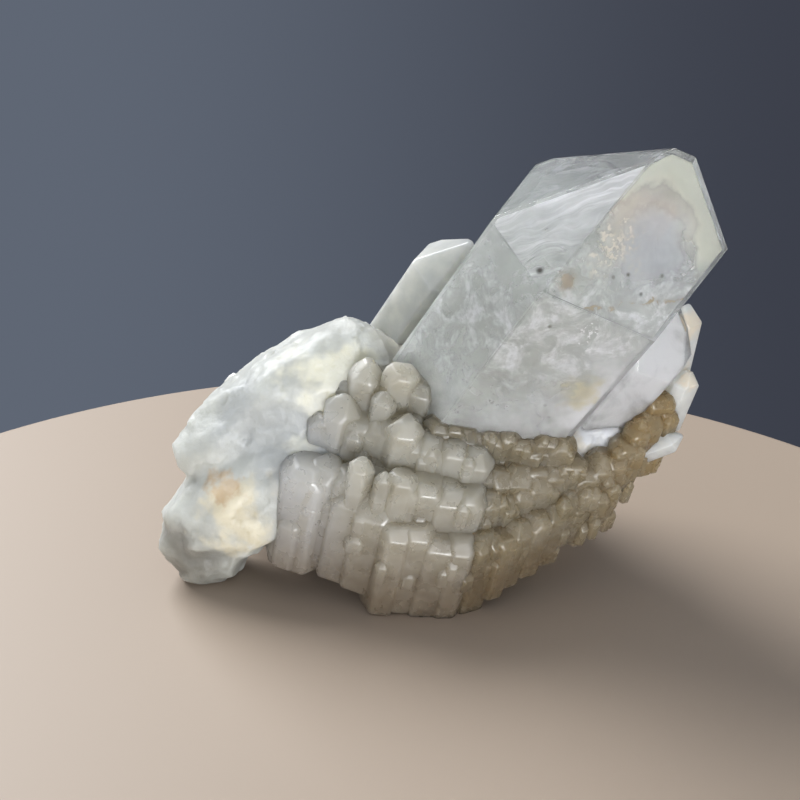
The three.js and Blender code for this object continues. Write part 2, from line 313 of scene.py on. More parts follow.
def main_faces(inset=0.0, shorten=0.0):
    """The main crystal's faces. inset moves them all in and shorten lowers the tip faces."""
    axes = crystal_frame(MAIN_AXIS)
    at = np.array(MAIN["at"])
    faces = [face(-axes[0], at, MAIN["length"] - inset)]
    for k in range(6):
        turn = MAIN_SPIN + 60 * k
        side = tilted(axes, turn + MAIN["prism_turn"][k], 90 - PRISM_TAPER)
        slant = tilted(axes, turn + MAIN["tip_turn"][k], TIP_SLOPE + MAIN["tip_lean"][k])
        faces.append(face(side, at, MAIN["prism"][k] - inset))
        faces.append(face(slant, at, MAIN["tip"][k] - inset - shorten * np.dot(slant, axes[0])))
    return faces


def small_faces(at, half, length, seed, axis=CANDLE_AXIS, spin=None, blunt=0.0):
    draw = random_from(seed)
    axes = crystal_frame(axis)
    start = 60 * draw() if spin is None else spin
    faces = [face(-axes[0], at, length)]
    if blunt > 0:
        faces.append(face(tilted(axes, 360 * draw(), BLUNT_LEAN), at, -blunt * half))
    for k in range(6):
        turn = start + 60 * k + mix(-3, 3, draw())
        faces.append(face(tilted(axes, turn, 90 - PRISM_TAPER), at, half * mix(0.85, 1.1, draw())))
        faces.append(face(tilted(axes, turn, TIP_SLOPE), at, -half * mix(0, 0.25, draw())))
    return faces


def row_of_candles(start, end, feet, turn, count, half, seed, axis=CANDLE_AXIS, uneven=1.0):
    draw = random_from(seed)
    rise = math.sin(math.radians(axis[1]))
    out = tilted(crystal_frame(axis), turn, 90)
    for i in range(count):
        t = i / (count - 1)
        width = half * mix(0.85, 1.2, draw())
        at = mix(np.array(start), np.array(end), t) - (width + 0.9 * uneven * draw()) * out
        at[2] += uneven * mix(-2, 2, draw())
        foot = mix(*feet, t) + mix(-0.5, 1, draw())
        blunt = mix(1.1, 0.3, uneven * draw())
        at[2] += blunt * width * rise
        length = (at[2] - foot) / rise
        own = seed * SEED_STEP + i
        yield dict(at=at, half=width, length=length, axis=axis, spin=turn, blunt=blunt, seed=own)


def block_faces(start, end, across, seed):
    draw = random_from(seed)
    golden = math.pi * (3 - math.sqrt(5))
    start, end = np.array(start, float), np.array(end, float)
    centre, reach = (start + end) / 2, np.linalg.norm(end - start)
    along = (end - start) / reach
    sideways = np.cross(along, (0, 0, 1))
    sideways /= np.linalg.norm(sideways)
    axes = np.array([along, sideways, np.cross(sideways, along)])
    half = np.array([reach / 2 + sum(across) / 4, *across])
    faces = []
    for i in range(BLOCK_FACES):
        z = 1 - (2 * i + 1) / BLOCK_FACES + mix(-0.03, 0.03, draw())
        around = i * golden + mix(-0.2, 0.2, draw())
        level = math.sqrt(max(0, 1 - z * z))
        parts = np.array([z, level * math.cos(around), level * math.sin(around)])
        parts /= np.linalg.norm(parts)
        size = (np.abs(parts * half) ** BLOCK_ROUNDING).sum() ** (1 / BLOCK_ROUNDING)
        faces.append(face(parts @ axes, centre, size * mix(1 - BLOCK_UNEVEN, 1, draw())))
    return faces


def joined(name, pieces):
    """All the pieces as one closed solid, cut level where they reach below the floor."""
    keep = pieces[0]
    others = bpy.data.collections.new(name + "_parts")
    for piece in pieces[1:]:
        others.objects.link(piece)
    joiner = keep.modifiers.new("join", "BOOLEAN")
    joiner.operation, joiner.operand_type, joiner.solver = "UNION", "COLLECTION", "MANIFOLD"
    joiner.collection = others
    bpy.ops.mesh.primitive_cube_add(size=GROUND, location=(0, 0, -GROUND / 2))
    ground = bpy.context.object
    cutter = keep.modifiers.new("cut", "BOOLEAN")
    cutter.operation, cutter.object, cutter.solver = "DIFFERENCE", ground, "MANIFOLD"
    mesh = applied(keep)
    for piece in (*pieces, ground):
        bpy.data.objects.remove(piece)
    bpy.data.collections.remove(others)
    made = bpy.data.objects.new(name, mesh)
    mesh.name = name
    bpy.context.scene.collection.objects.link(made)
    return made


def applied(piece):
    """The mesh that a piece has once its modifiers are applied."""
    graph = bpy.context.evaluated_depsgraph_get()
    return bpy.data.meshes.new_from_object(piece.evaluated_get(graph))


def settle(piece):
    """Applies a piece's modifiers to its own mesh."""
    mesh = applied(piece)
    piece.modifiers.clear()
    piece.data = mesh


def smooth_but_flat(piece):
    """Smooth shading over rounded edges only, so that flat faces stay optically flat."""
    piece.data.shade_smooth()
    piece.data.set_sharp_from_angle(angle=math.radians(SHARP_ANGLE))
    weighted = piece.modifiers.new("weighted", "WEIGHTED_NORMAL")
    weighted.keep_sharp = True
    settle(piece)
    return piece


FLANK = POINTS[1]
OTHERS = [point for point in POINTS if point is not FLANK]
LARGE = [point for point in OTHERS if point["half"] > LARGE_HALF and "axis" in point]
EDGE = [point for point in OTHERS if point["seed"] in EDGE_SEEDS]
COLUMNS = [point for point in OTHERS if point not in (*LARGE, *EDGE)]
COLUMNS += [candle for row in COLUMN_ROWS for candle in row_of_candles(**row, uneven=COLUMN_UNEVEN)]
COLUMNS += [candle for row in BACK_ROWS for candle in row_of_candles(**row)]
STUBS = [candle for row in CRUST_ROWS for candle in row_of_candles(**row, uneven=CRUST_UNEVEN)]


def main_crystal():
    """The main crystal with the flank crystal grown against its right side."""
    main = hull("main", rounded(main_faces(), MAIN_ROUNDING))
    flank = hull("flank", rounded(small_faces(**FLANK), FLANK_ROUNDING))
    return smooth_but_flat(joined("main_crystal", [main, flank]))


def side_crystals():
    """The larger crystals beside and behind the main one."""
    return smooth_but_flat(joined("side_crystals", crystals(LARGE + EDGE, SIDE_ROUNDING)))


def columns():
    """The candles, joined in one solid, with fine crystals on those of the rows."""
    overgrown = [
        candle
        for candle in COLUMNS
        if candle["seed"] > FIRST_ROW_SEED and candle["seed"] // SEED_STEP != PLAIN_ROW
    ]
    candles = COLUMNS + grown_on(overgrown, **CANDLE_GROWTH)
    made = joined("candles", crystals(candles, CANDLE_ROUNDING))
    mark_tips(made, candles)
    return smooth_but_flat(made)


def crust():
    """The rough crust on the right: candles grown almost level and overgrown with fine crystals."""
    candles = STUBS + grown_on(STUBS, **CRUST_GROWTH)
    made = joined("crust", crystals(candles, CRUST_ROUNDING))
    mark_tips(made, candles)
    return smooth_but_flat(made)


def crystals(points, rounding):
    """The rounded bodies of small crystals. rounding is a share of each one's half width."""
    return [hull("crystal", rounded(small_faces(**point), rounding * point["half"])) for point in points]


def grown_on(candles, count, proud):
    """The fine crystals on all the candles, in one list."""
    grown = [overgrowth(candle, number, count, proud) for number, candle in enumerate(candles)]
    return [small for few in grown for small in few]


def overgrowth(candle, number, count, proud):
    """Smaller crystals on a candle's front, standing a little proud of it, and round its tip."""
    draw = np.random.default_rng(number)
    axes = crystal_frame(candle.get("axis", CANDLE_AXIS))
    turn = candle.get("spin", 45)
    out = tilted(axes, turn, 90)
    side = np.cross(axes[0], out)
    top = candle["at"] - candle["blunt"] * candle["half"] * axes[0]
    shape = dict(spin=turn, length=GROWTH_LENGTH, blunt=GROWTH_BLUNT)
    for n in range(count):
        half = candle["half"] * draw.uniform(*GROWTH_HALF)
        at = top + draw.uniform(-GROWTH_ASIDE, GROWTH_ASIDE) * candle["half"] * side
        at -= draw.uniform(*GROWTH_BELOW_TIP) * axes[0]
        at += out * (candle["half"] + proud - half)
        yield dict(candle, at=at, half=half, seed=FIRST_ROW_SEED + 10 * number + n, **shape)


def mark_tips(piece, candles):
    """Gives each corner of a face its distance in mm below the top of the candle that the face is on."""
    mesh = piece.data
    centres = np.array([polygon.center for polygon in mesh.polygons]) / MM + MIDDLE
    nearest = np.full(len(centres), np.inf)
    owners = np.zeros(len(centres), int)
    for number, candle in enumerate(candles):
        faces = np.array(small_faces(**candle))
        outside = (centres @ faces[:, :3].T - faces[:, 3]).max(axis=1)
        closer = outside < nearest
        nearest[closer], owners[closer] = outside[closer], number
    axes = np.array([crystal_frame(candle.get("axis", CANDLE_AXIS))[0] for candle in candles])
    tops = np.array([candle["at"] for candle in candles])
    tops = tops - axes * np.array([candle["blunt"] * candle["half"] for candle in candles])[:, None]
    places = np.array([vertex.co for vertex in mesh.vertices]) / MM + MIDDLE
    corner_places = places[[loop.vertex_index for loop in mesh.loops]]
    owners = np.repeat(owners, [polygon.loop_total for polygon in mesh.polygons])
    below = ((tops[owners] - corner_places) * axes[owners]).sum(axis=1)
    mesh.attributes.new("below_tip", "FLOAT", "CORNER").data.foreach_set("value", below.astype(np.float32))


def pulled_in(faces, inset):
    """The faces moved in, and those of the tip, which lean along the axis, lowered as well."""
    along = -faces[0][:3]
    return [np.append(f[:3], f[3] - inset - inset * max(0, f[:3] @ along)) for f in faces]


def base():
    """The broken milky base: blocks melted together, then fractured."""
    blocks = [hull("block", rounded(block_faces(**block), BLOCK_EDGE)) for block in BLOCKS]
    made = joined("milky_base", blocks)
    melt(made, MELT_CELL, MELT_ROUNDS)
    fracture(made, **FRACTURE)
    made.data.shade_smooth()
    return made


def melt(piece, size, rounds):
    """Even small faces all over, with the creases between the joined bodies softened."""
    remesh = piece.modifiers.new("even", "REMESH")
    remesh.mode, remesh.voxel_size = "VOXEL", size * MM
    soften = piece.modifiers.new("soften", "SMOOTH")
    soften.factor, soften.iterations = 0.5, rounds
    settle(piece)


def fracture(piece, seed, spacing, tilt, swell, swell_size):
    """Chips a surface into small tilted facets with swellings and a fine grain over them."""
    random = np.random.default_rng(seed)
    noise.seed_set(seed)
    low, high = np.array(piece.bound_box).min(axis=0), np.array(piece.bound_box).max(axis=0)
    count = int(np.prod(high - low) / (spacing * MM) ** 3)
    seeds = random.uniform(low, high, (count, 3))
    tilts = random.normal(size=(count, 3))
    tilts /= np.linalg.norm(tilts, axis=1)[:, None]
    tree = kdtree.KDTree(count)
    for number, spot in enumerate(seeds):
        tree.insert(spot, number)
    tree.balance()
    mesh = piece.data
    moved = []
    for vertex in mesh.vertices:
        place = vertex.co
        wobble = noise.noise_vector(place / (0.5 * spacing * MM)) * 0.2 * spacing * MM
        _, number, _ = tree.find(place + wobble)
        chip = float(np.dot(tilts[number], np.array(place) - seeds[number])) * tilt
        rise = noise.fractal(place / (swell_size * MM), 1.0, 2.1, 5) * swell * MM
        fine = place / (GRAIN_SIZE * MM)
        grain = noise.ridged_multi_fractal(fine, 1.0, 2.2, 4, 1.0, 2.0) * GRAIN * MM
        moved.append(place + vertex.normal * (chip + rise + grain - SUNK * MM))
    for vertex, place in zip(mesh.vertices, moved):
        vertex.co = (place.x, place.y, max(place.z, 0))
    mesh.update()


# Thin sheets inside the main crystal


def face_outline(number, depth, count):
    """Points spaced evenly round one face of the main crystal, at a depth under it."""
    faces = main_faces(inset=depth)
    normal = faces[number][:3]
    rim = np.array([point for point, meet in corners(faces) if any(np.allclose(n, normal) for n in meet)])
    centre = rim.mean(axis=0)
    right = (rim[0] - centre) / np.linalg.norm(rim[0] - centre)
    up = np.cross(normal, right)
    turns = np.arctan2((rim - centre) @ up, (rim - centre) @ right)
    rim = rim[np.argsort(turns)]
    closed = np.vstack([rim, rim[:1]])
    run = np.append(0, np.cumsum(np.linalg.norm(np.diff(closed, axis=0), axis=1)))
    spots = np.linspace(0, run[-1], count, endpoint=False)
    return np.column_stack([np.interp(spots, run, closed[:, n]) for n in range(3)]), centre, normal


def veil(name, number, depth, rings=28, steps=120, thickness=0.12, relief=0.2, cover=0.995):
    """A thin closed sheet under one face of the main crystal, gently waved."""
    rim, centre, normal = face_outline(number, depth, steps)
    made = bmesh.new()
    layers = []
    for side in (0.5, -0.5):
        rows = []
        for ring in range(1, rings + 1):
            spots = centre + (rim - centre) * cover * ring / rings
            row = []
            for spot in spots:
                wave = noise.fractal(Vector(spot / 6), 0.8, 2.2, 5) * relief
                row.append(made.verts.new((spot + normal * (wave + side * thickness) - MIDDLE) * MM))
            rows.append(row)
        middle = centre + normal * side * thickness
        hub = made.verts.new((middle - MIDDLE) * MM)
        layers.append((hub, rows))
    for hub, rows in layers:
        for k in range(steps):
            made.faces.new((hub, rows[0][k], rows[0][k - 1]))
        for inner, outer in zip(rows, rows[1:]):
            for k in range(steps):
                made.faces.new((inner[k - 1], inner[k], outer[k], outer[k - 1]))
    top, bottom = layers[0][1][-1], layers[1][1][-1]
    for k in range(steps):
        made.faces.new((top[k - 1], top[k], bottom[k], bottom[k - 1]))
    bmesh.ops.recalc_face_normals(made, faces=made.faces)
    piece = piece_from(name, made)
    piece.data.shade_smooth()
    return piece


# Materials


class Finish:
    """One material. Each method adds a node and gives its output socket."""

    def __init__(self, name):
        self.material = bpy.data.materials.new(name)
        self.material.use_nodes = True
        self.tree = self.material.node_tree
        self.tree.nodes.clear()
        self.out = self.add("ShaderNodeOutputMaterial")
        self.surface = self.add("ShaderNodeBsdfPrincipled")
        self.wire(self.surface.outputs[0], self.out.inputs["Surface"])
        coords = self.add("ShaderNodeTexCoord").outputs["Object"]
        scaled = self.vector("SCALE", coords, scale=1 / MM)
        self.place = self.vector("ADD", scaled, tuple(MIDDLE))

    def add(self, kind, **settings):
        made = self.tree.nodes.new(kind)
        for name, value in settings.items():
            setattr(made, name, value)
        return made

    def wire(self, value, socket):
        if isinstance(value, bpy.types.NodeSocket):
            self.tree.links.new(value, socket)
        else:
            socket.default_value = value

    def set(self, **values):
        for name, value in values.items():
            self.wire(value, self.surface.inputs[name.replace("_", " ")])

    def vector(self, operation, a, b=None, scale=None):
        made = self.add("ShaderNodeVectorMath", operation=operation)
        self.wire(a, made.inputs[0])
        if b is not None:
            self.wire(b, made.inputs[1])
        if scale is not None:
            made.inputs["Scale"].default_value = scale
        return made.outputs["Value" if operation in ("DISTANCE", "DOT_PRODUCT") else "Vector"]

    def math(self, operation, a, b=0.0, clamp=False):
        made = self.add("ShaderNodeMath", operation=operation, use_clamp=clamp)
        self.wire(a, made.inputs[0])
        self.wire(b, made.inputs[1])
        return made.outputs[0]

    def noise(self, size, detail=3.0, roughness=0.5, warp=0.0, place=None):
        made = self.add("ShaderNodeTexNoise")
        self.wire(self.place if place is None else place, made.inputs["Vector"])
        made.inputs["Scale"].default_value = 1 / size
        made.inputs["Detail"].default_value = detail
        made.inputs["Roughness"].default_value = roughness
        made.inputs["Distortion"].default_value = warp
        return made.outputs["Fac"]

    def span(self, value, low, high, to_low=0.0, to_high=1.0):
        made = self.add("ShaderNodeMapRange", interpolation_type="SMOOTHSTEP")
        self.wire(value, made.inputs["Value"])
        made.inputs["From Min"].default_value = low
        made.inputs["From Max"].default_value = high
        made.inputs["To Min"].default_value = to_low
        made.inputs["To Max"].default_value = to_high
        return made.outputs["Result"]

    def blend(self, amount, a, b):
        made = self.add("ShaderNodeMix", data_type="RGBA")
        self.wire(amount, made.inputs["Factor"])
        for value, socket in ((a, made.inputs[6]), (b, made.inputs[7])):
            self.wire((*value, 1) if isinstance(value, tuple) else value, socket)
        return made.outputs[2]

    def near(self, point, radius, ragged=0.0):
        """1 at a point, falling to 0 at the radius, with a ragged rim."""
        distance = self.vector("DISTANCE", self.place, point)
        if ragged:
            rim = self.span(self.noise(radius / 2), 0.2, 0.8, -ragged, ragged)
            distance = self.math("ADD", distance, rim)
        return self.span(distance, radius, radius * 0.3)

    def along(self, direction, start=(0, 0, 0)):
        """The distance in millimetres from a point along a direction."""
        return self.vector("DOT_PRODUCT", self.vector("SUBTRACT", self.place, start), tuple(direction))

    def stretched(self, directions, sizes):
        """Coordinates along three directions, each divided by its size, for drawn-out noise."""
        made = self.add("ShaderNodeCombineXYZ")
        for socket, direction, size in zip(made.inputs, directions, sizes):
            self.wire(self.math("DIVIDE", self.along(direction), size), socket)
        return made.outputs[0]

    def shift(self, value):
        """A number as a vector along the second coordinate."""
        made = self.add("ShaderNodeCombineXYZ")
        self.wire(value, made.inputs[1])
        return made.outputs[0]

    def bump(self, height, distance):
        made = self.add("ShaderNodeBump")
        made.inputs["Distance"].default_value = distance
        self.wire(height, made.inputs["Height"])
        return made.outputs[0]

    def painted_tip_shade(self, colour, tint, share):
        """Darkens the ends of the candles with painted shade, which keeps their tops from looking more lit
        than their fronts and stands for the deeper look of their clear tips.
        """
        below = self.add("ShaderNodeAttribute", attribute_name="below_tip").outputs["Fac"]
        return self.blend(self.span(below, 4.5, 1.0, 0.0, share), colour, tint)

    def absorb(self, colour, density):
        """Plain volume absorption, per metre."""
        volume = self.add("ShaderNodeVolumeAbsorption")
        volume.inputs["Color"].default_value = (*colour, 1)
        volume.inputs["Density"].default_value = density
        self.wire(volume.outputs[0], self.out.inputs["Volume"])


def clear_quartz():
    """The main crystal's own surface and body: plain glass-clear quartz, faintly etched."""
    finish = Finish("clear_quartz")
    rough = finish.span(finish.noise(4, detail=4), 0.35, 0.75, 0.02, 0.12)
    etched = finish.bump(finish.noise(2.5, detail=5), 0.00002)
    finish.set(Base_Color=(1, 1, 1, 1), Roughness=rough, IOR=QUARTZ_IOR, Normal=etched)
    finish.set(Transmission_Weight=1.0)
    finish.absorb((0.80, 0.82, 0.72), 5.0)
    return finish.material


def satin_quartz():
    """The side crystals: translucent and cloudy, peach at two tips on the right."""
    finish = Finish("satin_quartz")
    cloud = finish.span(finish.noise(5, detail=5), 0.35, 0.7)
    colour = finish.blend(cloud, (0.66, 0.67, 0.63), (0.82, 0.82, 0.76))
    for spot, radius in (((54.9, 2.1, 53.3), 6), ((55.3, 2.7, 43.5), 3.5)):
        stain = finish.math("MULTIPLY", finish.near(spot, radius, ragged=radius / 3), 0.8)
        colour = finish.blend(stain, colour, (0.82, 0.67, 0.50))
    etched = finish.bump(finish.noise(1.5, detail=5), 0.00005)
    finish.set(Base_Color=colour, Roughness=0.3, IOR=QUARTZ_IOR, Transmission_Weight=0.3, Normal=etched)
    finish.set(Subsurface_Weight=1.0, Subsurface_Scale=0.008, Subsurface_Radius=(1.0, 0.97, 0.9))
    return finish.material


def candle_quartz():
    """The candles: cloudy, greyish above and darker and browner towards the broken feet, partly their own
    colour and partly painted shade and warm light bounced from the floor, with tips darkened by painted
    shade.
    """
    finish = Finish("candle_quartz")
    height = finish.along(UPWARDS)
    cloud = finish.span(finish.noise(4, detail=5), 0.35, 0.65)
    upper = finish.blend(cloud, (0.385, 0.36, 0.295), (0.46, 0.44, 0.375))
    left = finish.span(finish.along((1, 0, 0)), -6, -18)
    upper = finish.blend(left, upper, (0.55, 0.55, 0.535))
    # Darker and browner towards the feet: partly the quartz's own colour, partly painted shade and painted
    # warm light bounced from the floor.
    low_colour_and_shade = finish.blend(cloud, (0.18, 0.135, 0.09), (0.23, 0.18, 0.125))
    colour = finish.blend(finish.span(height, -2, 32), low_colour_and_shade, upper)
    # Darker tips: painted shade.
    colour = finish.painted_tip_shade(colour, (0.34, 0.31, 0.24), 0.3)
    rough = finish.span(finish.noise(3, detail=3), 0.3, 0.7, 0.2, 0.45)
    etched = finish.bump(finish.noise(1.2, detail=5), 0.00005)
    finish.set(Base_Color=colour, Roughness=rough, IOR=QUARTZ_IOR, Transmission_Weight=0.3, Normal=etched)
    finish.set(Subsurface_Weight=1.0, Subsurface_Scale=0.018, Subsurface_Radius=(1.0, 0.95, 0.85))
    return finish.material


def milky_quartz():
    """The base: snowy with a grey band on the left, beige within, stained by iron low on the left."""
    finish = Finish("milky_quartz")
    cloud = finish.span(finish.noise(7, detail=5), 0.35, 0.65)
    snow = finish.blend(cloud, (0.43, 0.435, 0.40), (0.50, 0.51, 0.475))
    core = finish.blend(cloud, (0.50, 0.45, 0.36), (0.66, 0.62, 0.53))
    colour = finish.blend(finish.span(finish.along((1, 0, 0)), -8, 4), snow, core)
    grey = finish.near((-26, -2.5, 35), 14, ragged=4)
    colour = finish.blend(finish.math("MULTIPLY", grey, 0.7), colour, (0.37, 0.385, 0.385))
    lobe = finish.near((-40, 0, 7), 13, ragged=2)
    colour = finish.blend(finish.math("MULTIPLY", lobe, 0.9), colour, (0.16, 0.15, 0.125))
    for spot, radius, tint in (
        ((-31, -7.6, 18), 10, (0.62, 0.56, 0.41)),
        ((-33.6, -5.9, 24.4), 4.5, (0.50, 0.38, 0.24)),
        ((-12, -1, 42), 12, (0.76, 0.74, 0.61)),
        ((38, 2, 32.5), 7, (0.60, 0.62, 0.65)),
    ):
        stain = finish.near(spot, radius, ragged=radius / 2)
        colour = finish.blend(finish.math("MULTIPLY", stain, 0.75), colour, tint)
    grain = finish.bump(finish.noise(1.2, detail=6, roughness=0.6), 0.0002)
    finish.set(Base_Color=colour, Roughness=0.45, IOR=QUARTZ_IOR, Normal=grain)
    finish.set(Subsurface_Weight=1.0, Subsurface_Scale=0.008, Subsurface_Radius=(1.0, 0.97, 0.88))
    return finish.material


def crust_quartz():
    """The crust: greyish and translucent, stained ochre and olive in patches and low on the right, and
    darker and browner towards the bottom, partly its own colour and partly painted shade and warm light
    bounced from the floor, with tips darkened by painted shade.
    """
    finish = Finish("crust_quartz")
    patch = finish.span(finish.noise(6, detail=5, roughness=0.6), 0.38, 0.64)
    colour = finish.blend(patch, (0.245, 0.215, 0.16), (0.185, 0.155, 0.10))
    right = finish.span(finish.along((0.85, 0.1, 0.3)), 30, 56)
    stain = finish.math("MULTIPLY", right, finish.span(finish.noise(5, detail=4), 0.3, 0.6, 0.45, 1.0))
    colour = finish.blend(stain, colour, (0.24, 0.155, 0.06))
    # Darker and browner low down: partly the crust's own colour, partly painted shade and painted warm
    # light bounced from the floor.
    low = finish.span(finish.along(UPWARDS), 22, 6)
    colour = finish.blend(finish.math("MULTIPLY", low, 0.8), colour, (0.14, 0.095, 0.05))
    # Darker tips: painted shade.
    colour = finish.painted_tip_shade(colour, (0.26, 0.21, 0.13), 0.3)
    rough = finish.span(finish.noise(2, detail=3), 0.3, 0.7, 0.12, 0.4)
    grain = finish.bump(finish.noise(0.8, detail=5, roughness=0.6), 0.0001)
    finish.set(Base_Color=colour, Roughness=rough, IOR=QUARTZ_IOR, Transmission_Weight=0.2, Normal=grain)
    finish.set(Subsurface_Weight=1.0, Subsurface_Scale=0.02, Subsurface_Radius=(1.0, 0.9, 0.75))
    return finish.material


def haze(name, start, full, most, scale):
    """Cloud inside the main crystal: nothing near the tip, thick towards the base, greyer towards the upper
    left as painted shade and whiter towards the lower right as a painted glow of light passing through.
    """
    finish = Finish(name)
    below_tip = finish.along(-crystal_frame(MAIN_AXIS)[0], MAIN["at"])
    depth = finish.span(below_tip, start, full, 0.0, most)
    cloud = finish.span(finish.noise(9, detail=6, roughness=0.6, warp=0.5), 0.3, 0.6, 0.55, 1.0)
    amount = finish.math("MULTIPLY", depth, cloud)
    # Painted light: greyer towards the upper left, painted shade against the window light there, and whiter
    # towards the lower right, a painted glow of light passing through the crystal.
    painted_glow = finish.span(finish.along((0.8, 0, -0.6)), -22, 4)
    colour = finish.blend(painted_glow, (0.80, 0.82, 0.79), (0.985, 0.99, 1.0))
    finish.set(Base_Color=colour, Roughness=1.0, Alpha=amount, Specular_IOR_Level=0.0)
    finish.set(Subsurface_Weight=1.0, Subsurface_Scale=scale, Subsurface_Radius=(1.0, 1.0, 1.0))
    return finish.material


def haze_shells():
    """The clouds inside the flank crystal and the main one, as closed shells under their faces."""
    faces = pulled_in(small_faces(**FLANK), FLANK_HAZE_INSET)
    flank = hull("haze_flank", rounded(faces, FLANK_HAZE_ROUNDING, steps=5))
    flank.data.shade_smooth()
    use(flank, haze("haze_flank", **FLANK_HAZE))
    for number, shell in enumerate(HAZE):
        look = dict(shell)
        faces = main_faces(look.pop("inset"), look.pop("shorten"))
        piece = hull(f"haze_{number}", rounded(faces, HAZE_ROUNDING, steps=6))
        piece.data.shade_smooth()
        use(piece, haze(piece.name, **look))


def veiled(finish):
    """The colour and cover of the cloud just under the faces, which runs on across their edges."""
    wisps = finish.span(finish.noise(5, detail=6, roughness=0.65, warp=0.6), 0.36, 0.66)
    fine = finish.span(finish.noise(1.3, detail=5, roughness=0.6), 0.35, 0.68)
    mottle = finish.math("MULTIPLY", wisps, finish.math("ADD", 0.55, finish.math("MULTIPLY", fine, 0.45)))
    colour = finish.blend(mottle, (0.74, 0.75, 0.71), (0.95, 0.96, 0.97))
    below = finish.span(finish.along(UPWARDS), 71, 63)
    amount = finish.math("ADD", 0.35, finish.math("MULTIPLY", below, 0.3))
    return colour, finish.math("MULTIPLY", amount, finish.span(mottle, 0, 1, 0.6, 1.3))


def with_specks(finish, colour, amount, spots, radius=0.6):
    """Adds small dark grains to a cloud."""
    for spot in spots:
        speck = finish.near(spot, radius)
        colour = finish.blend(speck, colour, (0.08, 0.07, 0.06))
        amount = finish.math("MAXIMUM", amount, speck)
    return colour, amount


def cloud_sheet(finish, colour, amount):
    finish.set(Base_Color=colour, Roughness=0.9, Alpha=amount, Specular_IOR_Level=0.1)
    return finish.material


def streaks():
    """Under the front left tip face: white growth streaks swept down from the ridge above it."""
    finish = Finish("streaks")
    normal, above = main_faces()[FACE_T1][:3], main_faces()[FACE_T0][:3]
    edge = np.cross(normal, above)
    edge /= np.linalg.norm(edge)
    down = np.cross(edge, normal)
    down *= -np.sign(down[2])
    ridge = [
        point
        for point, meet in corners(main_faces())
        if all((meet @ n).max() > 0.9999 for n in (normal, above))
    ]
    colour, amount = veiled(finish)
    bend = finish.span(finish.noise(12, detail=2), 0.2, 0.8, -1.5, 1.5)
    coords = finish.stretched((edge, down), (26, 1.5))
    bent = finish.vector("ADD", coords, finish.shift(bend))
    fine = finish.span(finish.noise(1, detail=5, roughness=0.6, warp=0.3, place=bent), 0.42, 0.7)
    coords = finish.stretched((edge, down), (20, 5))
    broad = finish.span(finish.noise(1, detail=3, place=coords), 0.3, 0.65)
    near_ridge = finish.span(finish.along(down, ridge[0]), 11, 0, 0.0, 0.5)
    lines = finish.math("ADD", finish.math("MULTIPLY", fine, 0.45), finish.math("MULTIPLY", broad, 0.3))
    lines = finish.math("ADD", lines, near_ridge, clamp=True)
    colour = finish.blend(lines, colour, (0.98, 0.98, 0.98))
    amount = finish.math("MULTIPLY", amount, 0.6)
    amount = finish.math("MAXIMUM", amount, finish.math("MULTIPLY", lines, 0.95))
    speck = (23.4, -15.3, 70.7)
    return cloud_sheet(finish, *with_specks(finish, colour, amount, (speck,), 0.9))


def phantom():
    """Under the front right tip face: a peach arch round a grey zone, crumbs, an olive rim that is partly
    painted light refracted through the clear tip, and specks.
    """
    finish = Finish("phantom")
    normal = main_faces()[FACE_T2][:3]
    up = np.array([0, 0, 1]) - normal[2] * normal
    up /= np.linalg.norm(up)
    side = np.cross(up, normal)
    height = finish.along(UPWARDS)
    colour, amount = veiled(finish)
    rise = finish.math("MAXIMUM", finish.along(up, PHANTOM), 0.0)
    across = finish.math("MULTIPLY", finish.along(side, PHANTOM), 1.15)
    squares = (finish.math("MULTIPLY", rise, rise), finish.math("MULTIPLY", across, across))
    distance = finish.math("SQRT", finish.math("ADD", *squares))
    wobble = finish.span(finish.noise(3, detail=5), 0.2, 0.8, -1.0, 1.0)
    distance = finish.math("ADD", distance, wobble)
    arch = finish.math("MULTIPLY", finish.span(distance, 3.6, 8.6), finish.span(distance, 11.6, 8.6))
    arch = finish.math("MULTIPLY", arch, finish.span(height, 68, 77))
    upper = finish.span(height, 63, 72)
    inside = finish.math("MULTIPLY", finish.span(distance, 9.0, 5.0), upper)
    # The olive rim: partly the crystal's own tint, partly painted light refracted through the clear tip.
    outside = finish.math("MULTIPLY", finish.span(distance, 7.6, 10.6), upper)
    right = finish.math("MAXIMUM", finish.span(across, -5, 2, 0.25, 1.0), finish.span(rise, 4, 9))
    outside = finish.math("MULTIPLY", outside, right)
    grains = finish.span(finish.noise(0.9, detail=5), 0.42, 0.6)
    crumbs = finish.math("MULTIPLY", finish.near((35.6, -11.9, 74.5), 6.5, ragged=3), grains)
    brown = finish.near((27.5, -15.8, 69.4), 2.8, ragged=0.6)
    wave = finish.span(finish.noise(2.5, detail=4), 0.2, 0.8, -1.2, 1.2)
    level = finish.math("ABSOLUTE", finish.math("ADD", finish.math("SUBTRACT", height, 64.5), wave))
    broken = finish.span(finish.noise(2, detail=3), 0.4, 0.55)
    line = finish.math("MULTIPLY", finish.span(level, 0.45, 0.1), broken)
    parts = (
        (outside, (0.88, 0.89, 0.78), 0.6),
        (inside, (0.76, 0.77, 0.79), 0.5),
        (finish.math("MULTIPLY", arch, 0.6), (0.92, 0.85, 0.74), 0.7),
        (finish.math("MULTIPLY", crumbs, 0.8), (0.94, 0.87, 0.76), 0.9),
        (line, (0.42, 0.34, 0.22), 0.7),
        (finish.math("MULTIPLY", brown, 0.8), (0.52, 0.38, 0.24), 0.6),
    )
    for part, tint, share in parts:
        colour = finish.blend(part, colour, tint)
        amount = finish.math("MAXIMUM", amount, finish.math("MULTIPLY", part, share))
    spots = ((35.8, -14.1, 69.3), (38.4, -13.1, 69.4), (40.9, -13, 65.9), (44.6, -11.2, 68.5))
    return cloud_sheet(finish, *with_specks(finish, colour, amount, spots))


